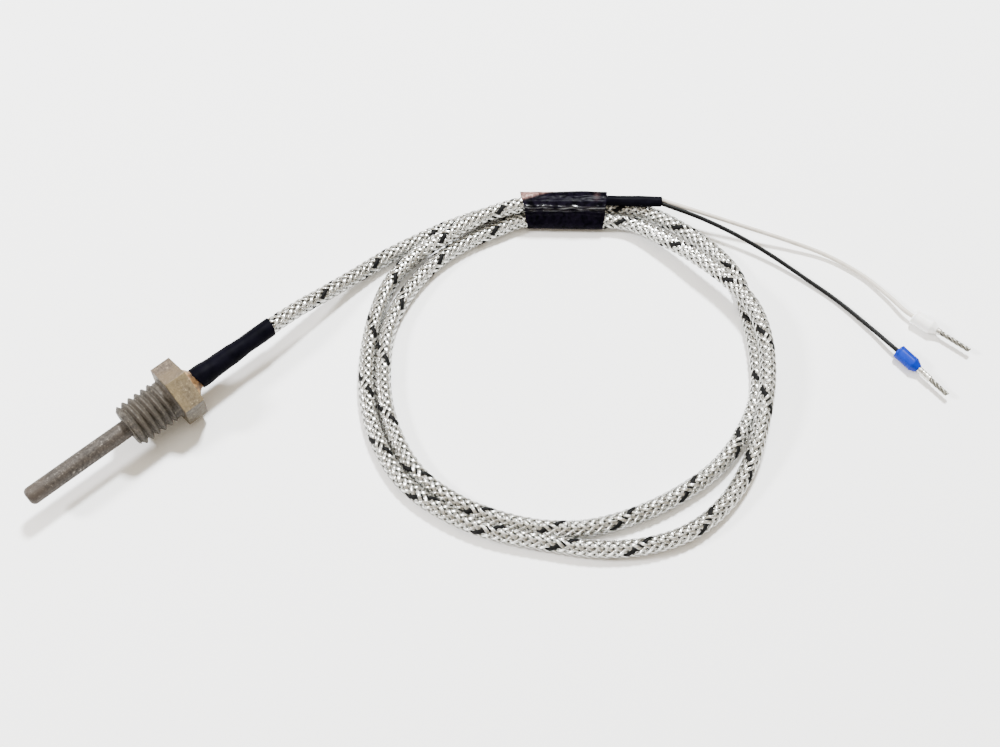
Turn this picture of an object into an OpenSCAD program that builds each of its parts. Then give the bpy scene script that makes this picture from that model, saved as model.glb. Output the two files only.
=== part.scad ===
// Screw-in thermocouple: a closed steel stem in a threaded hex bushing, with a
// metal-overbraided lead wound into two loose turns and two ferruled tails.
// The stem lies along X with its tip towards -X, and the table is the plane z = 0.

/* [Stem] */
// Outer diameter of the stem that sticks out of the bushing
stem_d = 3.2; // [2.7:0.1:4]
// Length of the stem that sticks out of the bushing
stem_l = 19.3; // [14:0.1:60]
// Diameter of the stem's root, inside the bushing and behind it
root_d = 3.0; // [2.8:0.1:3.6]
// Length of the root that stands out behind the hexagon
root_tail_l = 8.3; // [6:0.1:11]
// Bore of the stem and its root
bore_d = 2.1; // [1.9:0.05:2.3]
// Thickness of metal at the closed tip
tip_wall = 1.2; // [0.8:0.1:2]
// Corner radius of the closed tip
tip_r = 0.9; // [0.3:0.1:1.1]

/* [Bushing] */
// Crest diameter of the thread
thread_d = 8; // [7:0.1:10]
// Pitch of the thread
thread_pitch = 1.25; // [1:0.05:1.5]
// Depth of the thread's grooves
thread_depth = 0.7; // [0.5:0.05:0.8]
// Distance from the bushing's front end to the hexagon
thread_l = 8.6; // [6:0.1:16]
// Length of the plain neck between the thread and the hexagon
neck_l = 1.6; // [1:0.1:2]
// Size of the hexagon across its flats
hex_af = 10; // [9.5:0.1:13]
// Length of the hexagon along the axis
hex_l = 3.8; // [3:0.1:8]
// Roll of the hexagon from standing on one corner, in degrees
hex_roll = 10; // [0:1:25]
// Radial gap between the bushing's bore and the root
bushing_gap = 0.05; // [0.02:0.01:0.1]

/* [Boot] */
// Length of the heat-shrink boot
boot_l = 16.2; // [14:0.1:24]
// Wall of the shrunk boot
boot_wall = 0.3; // [0.2:0.05:0.5]
// Radial gap between the boot and what it has shrunk on
boot_gap = 0.05; // [0.03:0.01:0.1]
// Length of the braze collar that shows between the hexagon and the boot
braze_l = 1.3; // [0.8:0.1:2]
// Diameter of the braze collar where it meets the hexagon
braze_d = 5.8; // [4.4:0.1:7]

/* [Cores] */
// Diameter over the insulation of each core and of each tail wire
core_d = 0.8; // [0.7:0.02:0.84]
// Diameter of each core's conductor
conductor_d = 0.4; // [0.3:0.05:0.5]
// Distance between the centres of the two cores
core_pitch = 0.9; // [0.86:0.02:0.94]
// Length of the welded measuring junction
junction_l = 0.9; // [0.6:0.1:1.5]
// Length of bare conductor behind the junction
bare_l = 3; // [1:0.5:8]
// Length of the potting in the tip
cement_l = 8; // [6:0.5:14]
// Length of the seal in the root's mouth
seal_l = 3; // [2:0.5:5]

/* [Lead] */
// Diameter over the metal braid
braid_d = 2.8; // [2.4:0.1:2.9]
// Outer diameter of the sleeve at the lead's far end
sleeve_d = 2; // [1.7:0.1:2.2]
// Wall of that sleeve
sleeve_wall = 0.15; // [0.1:0.05:0.2]
// Width of the tape that binds the turns
tape_w = 15.6; // [12:0.2:16]
// Thickness of the tape
tape_t = 0.25; // [0.15:0.05:0.3]

/* [Ferrules] */
// Diameter of the plastic collar on the black wire
blue_collar_d = 2.7; // [2.4:0.1:3]
// Diameter of the plastic collar on the white wire
white_collar_d = 2.8; // [2.4:0.1:3]
// Length of the straight part of a collar
collar_l = 4.8; // [4:0.1:6]
// Length of the taper at the front of a collar
collar_taper_l = 1.1; // [0.8:0.1:1.5]
// Outer diameter of a ferrule's metal barrel
barrel_d = 1.2; // [1.1:0.05:1.3]
// Wall of the barrel
barrel_wall = 0.12; // [0.1:0.01:0.15]
// Length of the blue ferrule's barrel that shows
blue_barrel_l = 2.7; // [2:0.1:4]
// Length of the white ferrule's barrel that shows
white_barrel_l = 0.8; // [0.5:0.1:4]
// Length of bare strands beyond the blue ferrule's barrel
blue_strand_l = 4.1; // [3:0.1:6]
// Length of bare strands beyond the white ferrule's barrel
white_strand_l = 6; // [3:0.1:8]
// Diameter of a bundle of twisted strands
strand_d = 0.8; // [0.6:0.05:0.9]

/* [Hidden] */

$fn = 48;
CORD_SIDES = 8;
HEX_SIDES = 6;

// Heights and places along the stem, with the origin under the middle of stem, bushing and boot
hex_r = hex_af / 2 / cos(30);
axis_z = hex_r * cos(hex_roll);
boot_seat_gap = 0.1;
probe_l = stem_l + thread_l + hex_l + braze_l + boot_seat_gap + boot_l;
tip_x = -probe_l / 2;
bushing_x = tip_x + stem_l;
hex_x = bushing_x + thread_l;
hex_back_x = hex_x + hex_l;
root_end_x = hex_back_x + root_tail_l;
boot_x = hex_back_x + braze_l + boot_seat_gap;
boot_end_x = boot_x + boot_l;
junction_d = core_pitch + conductor_d + 0.2;
junction_x = tip_x + tip_wall + 0.3;
bare_x = junction_x + junction_l;
insulation_x = bare_x + bare_l;

// The lead starts just behind the root, inside the boot
lead_gap = 0.3;
lead_x = root_end_x + lead_gap;
fill_gap = 0.02;

// Route of the braided lead from the boot's mouth, which is x = 0 here: down to the
// table, through the tape, round two turns and back to the tape twice
run_in = [
    [lead_x - boot_end_x, 0, axis_z],
    [0, 0, axis_z],
    [6.5, 0.3, axis_z * 0.84],
    [13, 0.5, axis_z * 0.57],
    [19.5, 0.6, 2.1],
    [26.5, 0.3, 1.6],
    [33, -0.8, 1.5],
    [39.5, -2.3, 1.5],
    [46, -4.6, 1.6]
];
tape_back_strand = [[53.2, -8.5, 1.8], [58.9, -13.8, 1.8], [64.6, -19.1, 1.8]];
first_turn = [
    [69.7, -25, 1.6],
    [72.1, -32.7, 1.5],
    [72.7, -39.9, 1.5],
    [71.4, -47.1, 1.5],
    [66.7, -54.2, 1.5],
    [61.7, -60.7, 1.5],
    [55.4, -66.4, 1.5],
    [47.7, -69.7, 1.5],
    [40, -71, 1.5],
    [32, -70.2, 1.5],
    [24, -68, 1.5],
    [16.5, -64.3, 1.5],
    [10.5, -59, 1.5],
    [6, -52.5, 1.5],
    [3, -45.5, 1.5],
    [1.8, -38, 1.5],
    [3.2, -30.5, 1.5],
    [6.6, -23.1, 1.5],
    [11.6, -16.7, 1.5],
    [17.5, -11.5, 1.5],
    [24.7, -8.3, 1.5],
    [32, -6.8, 1.5],
    [39.5, -7.2, 1.5],
    [46, -8.9, 1.6]
];
tape_front_strand = [[51.1, -10.7, 1.8], [56.8, -16, 1.8], [62.5, -21.3, 1.8]];
second_turn = [
    [65.8, -25.8, 2],
    [67.3, -33, 3],
    [68, -40.5, 4.1],
    [68.2, -47.5, 4.4],
    [67, -54.5, 4.4],
    [63.2, -60.7, 4.3],
    [57.5, -66.3, 4.1],
    [50.8, -70.9, 3.5],
    [44, -74.5, 2.2],
    [36.2, -76.4, 1.5],
    [28.5, -76, 1.5],
    [21.3, -73, 1.5],
    [14.6, -67.7, 1.5],
    [8.9, -60.8, 1.5],
    [3.6, -53.3, 1.5],
    [0.4, -45.8, 1.5],
    [-1, -38, 1.5],
    [0.2, -30, 1.5],
    [3.8, -22, 1.5],
    [9.2, -15, 1.5],
    [15.7, -9.1, 1.5],
    [22.7, -4.9, 1.6],
    [29.7, -3.7, 2.4],
    [36.6, -4.8, 3.8],
    [44.5, -6.2, 4.3]
];
tape_top_strand = [[52.3, -9.5, 4.5], [56.9, -13.1, 4.6]];
lead_route = concat(
    run_in, tape_back_strand, first_turn, tape_front_strand, second_turn, tape_top_strand
);

// The sleeve over the lead's end runs straight from inside the tape
sleeve_start = [58.3, -13.2, 4.4];
sleeve_end = [72.5, -26.4, 3.9];

// Each ferrule starts at its collar's back end and turns about Z from +X, and its wire
// reaches this far into the collar
blue_ferrule_at = [81.2, -77.2, blue_collar_d / 2];
blue_ferrule_turn = -94;
white_ferrule_at = [89.1, -74.4, white_collar_d / 2];
white_ferrule_turn = -82;
wire_grip_l = 1.6;
function inside_collar(place, turn) = place + wire_grip_l * [cos(turn), sin(turn), 0];

// The wires leave the sleeve side by side and end inside their collars
black_route = [
    [72.2, -26.7, 3.9],
    [75.6, -33.6, 3.2],
    [78.2, -40.5, 2.4],
    [80.1, -47.6, 1.5],
    [81.3, -55.2, 0.8],
    [82, -62.9, 0.6],
    [81.7, -70.8, 0.9],
    [81.2, -75.7, blue_collar_d / 2],
    inside_collar(blue_ferrule_at, blue_ferrule_turn)
];
white_route = [
    [72.8, -26.1, 3.9],
    [76.9, -33.8, 3.4],
    [81, -41.1, 2.6],
    [85, -48.1, 1.7],
    [88.3, -54.9, 0.9],
    [89.8, -62.1, 0.7],
    [89.6, -68, 1],
    [88.9, -72.8, white_collar_d / 2],
    inside_collar(white_ferrule_at, white_ferrule_turn)
];

// Shape of the tape's section: centres of what it wraps, seen from its left end
tape_at = [52.15, -9.6];
tape_turn = -42.9;
tape_centres = [[-1.5, 1.8], [1.5, 1.8], [1.2, 4.5], [0, 4.5]];
tape_bore_r = braid_d / 2 + 0.1;

// ---- helpers ----

function unit(v) = v / norm(v);

// Direction of a route at point i
function tangent(route, i) =
    let (last = len(route) - 1)
    unit(route[min(i + 1, last)] - route[max(i - 1, 0)]);

// One ring of points round a route at point i
function ring(route, i, r) =
    let (along = tangent(route, i), side = unit(cross([0, 0, 1], along)), top = cross(along, side))
    [for (k = [0 : CORD_SIDES - 1])
        let (a = 360 * (k + 0.5) / CORD_SIDES)
        route[i] + r * (cos(a) * side + sin(a) * top)];

function from_boot(route) = [for (p = route) p + [boot_end_x, 0, 0]];

// A closed tube of radius r along a route
module swept_tube(route, r) {
    n = CORD_SIDES;
    last = len(route) - 1;
    points = [for (i = [0 : last]) each ring(route, i, r)];
    sides = [for (i = [0 : last - 1], k = [0 : n - 1])
        let (a = i * n + k, b = i * n + (k + 1) % n)
        each [[a, a + n, b], [b, a + n, b + n]]];
    caps = [[for (k = [0 : n - 1]) k], [for (k = [n - 1 : -1 : 0]) last * n + k]];
    polyhedron(points = points, faces = concat(sides, caps), convexity = 10);
}

// Places children on the stem's axis, with their +Z along +X
module on_axis(x) {
    translate([x, 0, axis_z]) rotate([0, 90, 0]) children();
}

// A straight tube along +Z
module tube(outer_r, inner_r, length) {
    rotate_extrude() translate([inner_r, 0]) square([outer_r - inner_r, length]);
}

// Both cores' places across the stem's axis
module at_core(side) {
    translate([0, side * core_pitch / 2, 0]) children();
}

// ---- stem and what it holds ----

module probe_stem() {
    stem_r = stem_d / 2;
    root_r = root_d / 2;
    root_l = thread_l + hex_l + root_tail_l;
    relief_l = 0.7;
    relief_depth = 0.1;
    color("dimgray") on_axis(tip_x) difference() {
        rotate_extrude() union() {
            translate([0, tip_r]) square([stem_r, stem_l - tip_r]);
            square([stem_r - tip_r, stem_l]);
            intersection() {
                translate([stem_r - tip_r, tip_r]) circle(r = tip_r);
                square([stem_r, stem_l]);
            }
            translate([0, stem_l]) square([min(stem_r, root_r) - relief_depth, root_l]);
            translate([0, stem_l + relief_l]) square([root_r, root_l - relief_l]);
        }
        translate([0, 0, tip_wall]) cylinder(d = bore_d, h = stem_l + root_l);
    }
}

module measuring_junction() {
    color("darkgray") on_axis(junction_x) cylinder(d = junction_d, h = junction_l);
}

module conductor(side) {
    on_axis(bare_x) at_core(side) cylinder(d = conductor_d, h = lead_x - bare_x);
}

module positive_conductor() { color("silver") conductor(1); }

module negative_conductor() { color("lightgray") conductor(-1); }

module core_insulation(side) {
    on_axis(insulation_x) at_core(side)
        tube(core_d / 2, conductor_d / 2 + fill_gap, lead_x - insulation_x);
}

module white_core_insulation() { color("white") core_insulation(1); }

module black_core_insulation() { color("black") core_insulation(-1); }

// Potting round the junction, the bare conductors and the front of the cores
module tip_cement() {
    color("lightyellow") difference() {
        on_axis(tip_x + tip_wall) cylinder(r = bore_d / 2 - fill_gap, h = cement_l);
        on_axis(junction_x) cylinder(d = junction_d, h = junction_l);
        for (side = [-1, 1]) {
            on_axis(bare_x) at_core(side) cylinder(d = conductor_d, h = cement_l);
            on_axis(insulation_x) at_core(side) cylinder(d = core_d, h = cement_l);
        }
    }
}

// Seal round both cores in the root's mouth
module rear_seal() {
    color("saddlebrown") on_axis(root_end_x - seal_l) difference() {
        cylinder(r = bore_d / 2 - fill_gap, h = seal_l);
        for (side = [-1, 1]) at_core(side) translate([0, 0, -1]) cylinder(d = core_d, h = seal_l + 2);
    }
}

// ---- bushing and boot ----

// Half section of the screwed shank, with one V groove for each turn of the thread
module shank_section() {
    r = thread_d / 2;
    crest = thread_pitch / 8;
    lead_in = 0.5;
    neck_x = thread_l - neck_l;
    turns = floor((neck_x - lead_in) / thread_pitch);
    groove = concat(
        [for (i = [0 : turns - 1])
            let (x = lead_in + i * thread_pitch)
            each [[r, x], [r, x + crest], [r - thread_depth, x + (thread_pitch + crest) / 2]]],
        [[r, lead_in + turns * thread_pitch], [r, neck_x]]
    );
    neck_r = r - 0.3;
    fillet = 0.35;
    polygon(concat(
        [[0, 0], [r - lead_in, 0]],
        groove,
        [[neck_r, neck_x + 0.2], [neck_r, thread_l - fillet], [neck_r + fillet, thread_l],
         [neck_r + fillet, thread_l + 0.1], [0, thread_l + 0.1]]
    ));
}

module threaded_bushing() {
    bevel = 0.35;
    color("gray") difference() {
        union() {
            on_axis(bushing_x) rotate_extrude() shank_section();
            on_axis(hex_x) intersection() {
                rotate([0, 0, hex_roll]) cylinder(r = hex_r, h = hex_l, $fn = HEX_SIDES);
                rotate_extrude() polygon([
                    [0, 0], [hex_r - 2 * bevel, 0], [hex_r, bevel],
                    [hex_r, hex_l - bevel], [hex_r - 2 * bevel, hex_l], [0, hex_l]
                ]);
            }
        }
        on_axis(bushing_x - 1) cylinder(r = root_d / 2 + bushing_gap, h = thread_l + hex_l + 2);
    }
}

// Ring of braze between the hexagon's back face and the root
module braze_collar() {
    root_r = root_d / 2;
    braze_r = braze_d / 2;
    color("peru") on_axis(hex_back_x) rotate_extrude() polygon([
        [root_r, 0],
        [braze_r, 0],
        [braze_r - 0.1, braze_l * 0.4],
        [braze_r - 0.5, braze_l * 0.8],
        [root_r + 0.4, braze_l],
        [root_r, braze_l]
    ]);
}

// The boot is wider over the root and narrower over the braid
module heat_shrink_boot() {
    front_r = root_d / 2 + boot_gap;
    back_r = braid_d / 2 + boot_gap;
    step_x = root_end_x - boot_x;
    taper_l = 1.5;
    lip = 0.15;
    color("black") on_axis(boot_x) rotate_extrude() polygon([
        [front_r, 0],
        [front_r + boot_wall + lip, 0],
        [front_r + boot_wall, 2],
        [front_r + boot_wall, step_x],
        [back_r + boot_wall, step_x + taper_l],
        [back_r + boot_wall, boot_l],
        [back_r, boot_l],
        [back_r, step_x + taper_l],
        [front_r, step_x]
    ]);
}

// ---- lead ----

module braided_lead() {
    color("gainsboro") swept_tube(from_boot(lead_route), braid_d / 2);
}

// Rounded outline round the strands at distance r from their centres
module wrap_outline(r) {
    n = len(tape_centres);
    outline = [for (i = [0 : n - 1])
        let (a = tape_centres[i], b = tape_centres[(i + 1) % n], along = unit(b - a))
        each [a + r * [along.y, -along.x], b + r * [along.y, -along.x]]];
    union() {
        polygon(outline);
        for (c = tape_centres) translate(c) circle(r = r);
    }
}

module binding_tape() {
    color("black") translate([boot_end_x + tape_at.x, tape_at.y, 0]) rotate([0, 0, tape_turn])
        rotate([90, 0, 90]) linear_extrude(tape_w) difference() {
            wrap_outline(tape_bore_r + tape_t);
            wrap_outline(tape_bore_r);
        }
}

module lead_end_sleeve() {
    run = sleeve_end - sleeve_start;
    color("black") translate(sleeve_start + [boot_end_x, 0, 0])
        rotate([0, acos(run.z / norm(run)), atan2(run.y, run.x)])
            tube(sleeve_d / 2, sleeve_d / 2 - sleeve_wall, norm(run));
}

module black_wire() {
    color("black") swept_tube(from_boot(black_route), core_d / 2);
}

module white_wire() {
    color("white") swept_tube(from_boot(white_route), core_d / 2);
}

// ---- ferrules ----

// Places children at a ferrule's back end, with their +Z along the ferrule
module at_ferrule(place, turn) {
    translate(place + [boot_end_x, 0, 0]) rotate([0, 90, turn]) children();
}

module ferrule_collar(collar_d) {
    collar_r = collar_d / 2;
    mouth_r = core_d / 2 + 0.15;
    barrel_r = barrel_d / 2;
    rotate_extrude() polygon([
        [mouth_r, 0],
        [collar_r - 0.1, 0],
        [collar_r, 0.15],
        [collar_r, collar_l],
        [barrel_r + 0.3, collar_l + collar_taper_l],
        [barrel_r, collar_l + collar_taper_l],
        [barrel_r, collar_l - 1.5],
        [mouth_r, collar_l - 2.5]
    ]);
}

// The barrel starts inside the collar and shows in front of it
module ferrule_barrel(shown_l) {
    start = collar_l - 1.5;
    translate([0, 0, start])
        tube(barrel_d / 2, barrel_d / 2 - barrel_wall, 1.5 + collar_taper_l + shown_l);
}

// Bare strands from the end of the wire's insulation to beyond the barrel
module wire_strands(barrel_l, free_l) {
    start = wire_grip_l + 0.05;
    translate([0, 0, start])
        cylinder(d = strand_d, h = collar_l + collar_taper_l + barrel_l + free_l - start);
}

module blue_ferrule_collar() {
    color("royalblue") at_ferrule(blue_ferrule_at, blue_ferrule_turn) ferrule_collar(blue_collar_d);
}

module blue_ferrule_barrel() {
    color("silver") at_ferrule(blue_ferrule_at, blue_ferrule_turn) ferrule_barrel(blue_barrel_l);
}

module black_wire_strands() {
    color("silver") at_ferrule(blue_ferrule_at, blue_ferrule_turn)
        wire_strands(blue_barrel_l, blue_strand_l);
}

module white_ferrule_collar() {
    color("white") at_ferrule(white_ferrule_at, white_ferrule_turn) ferrule_collar(white_collar_d);
}

module white_ferrule_barrel() {
    color("silver") at_ferrule(white_ferrule_at, white_ferrule_turn) ferrule_barrel(white_barrel_l);
}

module white_wire_strands() {
    color("silver") at_ferrule(white_ferrule_at, white_ferrule_turn)
        wire_strands(white_barrel_l, white_strand_l);
}

probe_stem();
measuring_junction();
positive_conductor();
negative_conductor();
white_core_insulation();
black_core_insulation();
tip_cement();
rear_seal();
threaded_bushing();
braze_collar();
heat_shrink_boot();
braided_lead();
binding_tape();
lead_end_sleeve();
black_wire();
white_wire();
blue_ferrule_collar();
blue_ferrule_barrel();
black_wire_strands();
white_ferrule_collar();
white_ferrule_barrel();
white_wire_strands();
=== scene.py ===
"""Looks for a screw-in thermocouple: steel stem and bushing, heat-shrink boot, metal-braided lead
bound with tape, and two ferruled wires. Metres, in the part's own frame."""

import math

import bmesh
import bpy
import numpy as np
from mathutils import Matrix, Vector, noise


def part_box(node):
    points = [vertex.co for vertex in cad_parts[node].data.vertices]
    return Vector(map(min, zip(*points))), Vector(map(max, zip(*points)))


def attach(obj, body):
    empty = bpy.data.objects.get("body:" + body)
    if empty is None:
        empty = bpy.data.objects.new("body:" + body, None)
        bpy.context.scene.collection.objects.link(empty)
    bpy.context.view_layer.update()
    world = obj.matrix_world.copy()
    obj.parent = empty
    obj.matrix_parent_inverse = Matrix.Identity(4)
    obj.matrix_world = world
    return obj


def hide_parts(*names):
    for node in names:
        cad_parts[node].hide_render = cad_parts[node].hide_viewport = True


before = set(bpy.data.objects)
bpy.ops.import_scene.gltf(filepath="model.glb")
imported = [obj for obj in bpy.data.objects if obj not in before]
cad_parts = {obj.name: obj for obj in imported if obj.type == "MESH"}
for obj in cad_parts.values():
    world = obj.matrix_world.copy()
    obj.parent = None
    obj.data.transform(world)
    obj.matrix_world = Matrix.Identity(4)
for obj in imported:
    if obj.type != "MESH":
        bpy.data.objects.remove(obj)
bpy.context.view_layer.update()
MM = 0.001

# ---------------------------------------------------------------- sizes that the frame gives

STEM_LOW, STEM_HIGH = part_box("probe_stem")
BUSH_LOW, BUSH_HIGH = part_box("threaded_bushing")
BOOT_LOW, BOOT_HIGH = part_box("heat_shrink_boot")

AXIS_Z = (STEM_LOW.z + STEM_HIGH.z) / 2
STEM_R = (STEM_HIGH.z - STEM_LOW.z) / 2
EXIT = Vector((BOOT_HIGH.x, 0, AXIS_Z))

# ---------------------------------------------------------------- camera

CAMERA_AZIMUTH = math.radians(-42.3)
CAMERA_ELEVATION = math.radians(60)
CAMERA_DISTANCE = 0.2104
CAMERA_LENS = 42.4
AIM = Vector((0.0504, -0.0320, 0))


def add_camera():
    """The photograph's viewing angle: well above the table, from the coil's near side."""
    level = math.cos(CAMERA_ELEVATION)
    back = Vector((
        math.sin(CAMERA_AZIMUTH) * level,
        -math.cos(CAMERA_AZIMUTH) * level,
        math.sin(CAMERA_ELEVATION),
    ))
    camera = bpy.data.objects.new("camera", bpy.data.cameras.new("camera"))
    camera.data.lens = CAMERA_LENS
    camera.data.sensor_width = 36
    camera.data.clip_start = 0.01
    camera.data.clip_end = 10
    camera.location = AIM + back * CAMERA_DISTANCE
    camera.rotation_mode = "QUATERNION"
    camera.rotation_quaternion = (-back).to_track_quat("-Z", "Y")
    bpy.context.scene.collection.objects.link(camera)
    bpy.context.scene.camera = camera


add_camera()

# ---------------------------------------------------------------- routes, as in part.scad

AXIS_MM = AXIS_Z / MM
LEAD_START_MM = -9  # where the lead starts, measured from the boot's mouth

RUN_IN = [
    (LEAD_START_MM, 0, AXIS_MM), (0, 0, AXIS_MM), (6.5, 0.3, AXIS_MM * 0.84),
    (13, 0.5, AXIS_MM * 0.57), (19.5, 0.6, 2.1), (26.5, 0.3, 1.6), (33, -0.8, 1.5),
    (39.5, -2.3, 1.5), (46, -4.6, 1.6),
]
TAPE_BACK_STRAND = [(53.2, -8.5, 1.8), (58.9, -13.8, 1.8), (64.6, -19.1, 1.8)]
FIRST_TURN = [
    (69.7, -25, 1.6), (72.1, -32.7, 1.5), (72.7, -39.9, 1.5), (71.4, -47.1, 1.5), (66.7, -54.2, 1.5),
    (61.7, -60.7, 1.5), (55.4, -66.4, 1.5), (47.7, -69.7, 1.5), (40, -71, 1.5), (32, -70.2, 1.5),
    (24, -68, 1.5), (16.5, -64.3, 1.5), (10.5, -59, 1.5), (6, -52.5, 1.5), (3, -45.5, 1.5),
    (1.8, -38, 1.5), (3.2, -30.5, 1.5), (6.6, -23.1, 1.5), (11.6, -16.7, 1.5),
    (17.5, -11.5, 1.5), (24.7, -8.3, 1.5), (32, -6.8, 1.5), (39.5, -7.2, 1.5), (46, -8.9, 1.6),
]
TAPE_FRONT_STRAND = [(51.1, -10.7, 1.8), (56.8, -16, 1.8), (62.5, -21.3, 1.8)]
SECOND_TURN = [
    (65.8, -25.8, 2), (67.3, -33, 3), (68, -40.5, 4.1), (68.2, -47.5, 4.4), (67, -54.5, 4.4),
    (63.2, -60.7, 4.3), (57.5, -66.3, 4.1), (50.8, -70.9, 3.5), (44, -74.5, 2.2),
    (36.2, -76.4, 1.5), (28.5, -76, 1.5), (21.3, -73, 1.5), (14.6, -67.7, 1.5),
    (8.9, -60.8, 1.5), (3.6, -53.3, 1.5), (0.4, -45.8, 1.5), (-1, -38, 1.5), (0.2, -30, 1.5),
    (3.8, -22, 1.5), (9.2, -15, 1.5), (15.7, -9.1, 1.5), (22.7, -4.9, 1.6), (29.7, -3.7, 2.4),
    (36.6, -4.8, 3.8), (44.5, -6.2, 4.3),
]
TAPE_TOP_STRAND = [(52.3, -9.5, 4.5), (56.9, -13.1, 4.6)]
LEAD_ROUTE = RUN_IN + TAPE_BACK_STRAND + FIRST_TURN + TAPE_FRONT_STRAND + SECOND_TURN + TAPE_TOP_STRAND

SLEEVE_START = (58.3, -13.2, 4.4)
SLEEVE_END = (72.5, -26.4, 3.9)

WIRE_GRIP_MM = 1.6
BLUE_AT, BLUE_TURN = (81.2, -77.2, 1.35), math.radians(-94)
WHITE_AT, WHITE_TURN = (89.1, -74.4, 1.4), math.radians(-82)


def inside_collar(place, turn):
    x, y, z = place
    return (x + WIRE_GRIP_MM * math.cos(turn), y + WIRE_GRIP_MM * math.sin(turn), z)


BLACK_ROUTE = [
    (72.2, -26.7, 3.9), (75.6, -33.6, 3.2), (78.2, -40.5, 2.4), (80.1, -47.6, 1.5),
    (81.3, -55.2, 0.8), (82, -62.9, 0.6), (81.7, -70.8, 0.9), (81.2, -75.7, 1.35),
    inside_collar(BLUE_AT, BLUE_TURN),
]
WHITE_ROUTE = [
    (72.8, -26.1, 3.9), (76.9, -33.8, 3.4), (81, -41.1, 2.6), (85, -48.1, 1.7),
    (88.3, -54.9, 0.9), (89.8, -62.1, 0.7), (89.6, -68, 1), (88.9, -72.8, 1.4),
    inside_collar(WHITE_AT, WHITE_TURN),
]


def from_boot(points):
    """Route points in metres, in the part's frame."""
    return np.array(points, float) * MM + np.array([EXIT.x, 0, 0])


def run_along(path):
    """Distance from the start at each point of a path."""
    return np.concatenate([[0], np.cumsum(np.linalg.norm(np.diff(path, axis=0), axis=1))])


def smooth_path(points, spacing):
    """Points at an even spacing on a Catmull-Rom curve through the route's points."""
    points = np.asarray(points, float)
    ends = np.vstack([2 * points[0] - points[1], points, 2 * points[-1] - points[-2]])
    steps = 24
    t = np.linspace(0, 1, steps, endpoint=False)[:, None]
    dense = []
    for a, b, c, d in zip(ends, ends[1:], ends[2:], ends[3:]):
        dense.append(0.5 * (2 * b + (c - a) * t + (2 * a - 5 * b + 4 * c - d) * t**2
                            + (3 * b - a - 3 * c + d) * t**3))
    dense = np.vstack(dense + [points[-1:]])
    run = run_along(dense)
    at = np.linspace(0, run[-1], max(2, int(round(run[-1] / spacing)) + 1))
    return np.stack([np.interp(at, run, dense[:, k]) for k in range(3)], axis=1)


def path_frames(path):
    """Unit sideways and upward vectors, square to a path, at each of its points."""
    along = np.gradient(path, axis=0)
    along /= np.linalg.norm(along, axis=1)[:, None]
    side = np.cross([0, 0, 1.0], along)
    side /= np.linalg.norm(side, axis=1)[:, None]
    return side, np.cross(along, side)


def round_rings(path, radius, sides=16):
    """Rings of points round a path, for a round cord."""
    side, up = path_frames(path)
    angles = np.linspace(0, 2 * math.pi, sides, endpoint=False)[None, :, None]
    return (path[:, None, :]
            + radius * np.cos(angles) * side[:, None, :]
            + radius * np.sin(angles) * up[:, None, :])


# ---------------------------------------------------------------- meshes

def face_outward(mesh):
    whole = bmesh.new()
    whole.from_mesh(mesh)
    inside_out = whole.calc_volume(signed=True) < 0
    whole.free()
    if inside_out:
        mesh.flip_normals()


def finish_piece(name, mesh, material, cad_nodes=(), smooth=True):
    """A new piece on the part's one body. It replaces cad_nodes, if there are any."""
    face_outward(mesh)
    piece = bpy.data.objects.new(name, mesh)
    bpy.context.scene.collection.objects.link(piece)
    mesh.polygons.foreach_set("use_smooth", [smooth] * len(mesh.polygons))
    mesh.materials.append(material)
    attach(piece, "root")
    if cad_nodes:
        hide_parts(*cad_nodes)
    return piece


def fill_mesh(mesh, points, quads, caps):
    """Fills a mesh fast from arrays: quads, and a few bigger faces after them."""
    corners = np.concatenate([quads.ravel(), *[np.array(c) for c in caps]]).astype(np.int32)
    sizes = np.concatenate([np.full(len(quads), 4), [len(c) for c in caps]]).astype(np.int32)
    starts = np.concatenate([[0], np.cumsum(sizes)[:-1]]).astype(np.int32)
    mesh.vertices.add(len(points))
    mesh.vertices.foreach_set("co", np.ascontiguousarray(points, np.float32).ravel())
    mesh.loops.add(len(corners))
    mesh.loops.foreach_set("vertex_index", corners)
    mesh.polygons.add(len(sizes))
    mesh.polygons.foreach_set("loop_start", starts)
    mesh.polygons.foreach_set("loop_total", sizes)
    mesh.update(calc_edges=True)
    mesh.validate()


def grid_mesh(name, rings, looped=False):
    """A closed mesh over an array of rings, of shape (rings, points, 3). Its two ends are capped
    or, when it is looped, joined to each other."""
    count, sides, _ = rings.shape
    i = np.arange(count if looped else count - 1)[:, None]
    k = np.arange(sides)[None, :]
    k_next = (k + 1) % sides
    here, there = i * sides, (i + 1) % count * sides
    quads = np.stack([here + k, here + k_next, there + k_next, there + k], axis=-1).reshape(-1, 4)
    last = (count - 1) * sides
    caps = [] if looped else [range(sides)[::-1], range(last, last + sides)]
    mesh = bpy.data.meshes.new(name)
    fill_mesh(mesh, rings.reshape(-1, 3), quads, caps)
    return mesh


def keep_values(mesh, name, values):
    """Keeps a number for each point of a mesh as an attribute that its material reads."""
    layer = mesh.attributes.new(name, "FLOAT", "POINT")
    layer.data.foreach_set("value", np.ascontiguousarray(values, np.float32).ravel())


def join_meshes(name, meshes):
    """One mesh from several, with their attributes."""
    joined = bmesh.new()
    for mesh in meshes:
        joined.from_mesh(mesh)
    mesh = bpy.data.meshes.new(name)
    joined.to_mesh(mesh)
    joined.free()
    return mesh


# ---------------------------------------------------------------- material helpers

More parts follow.
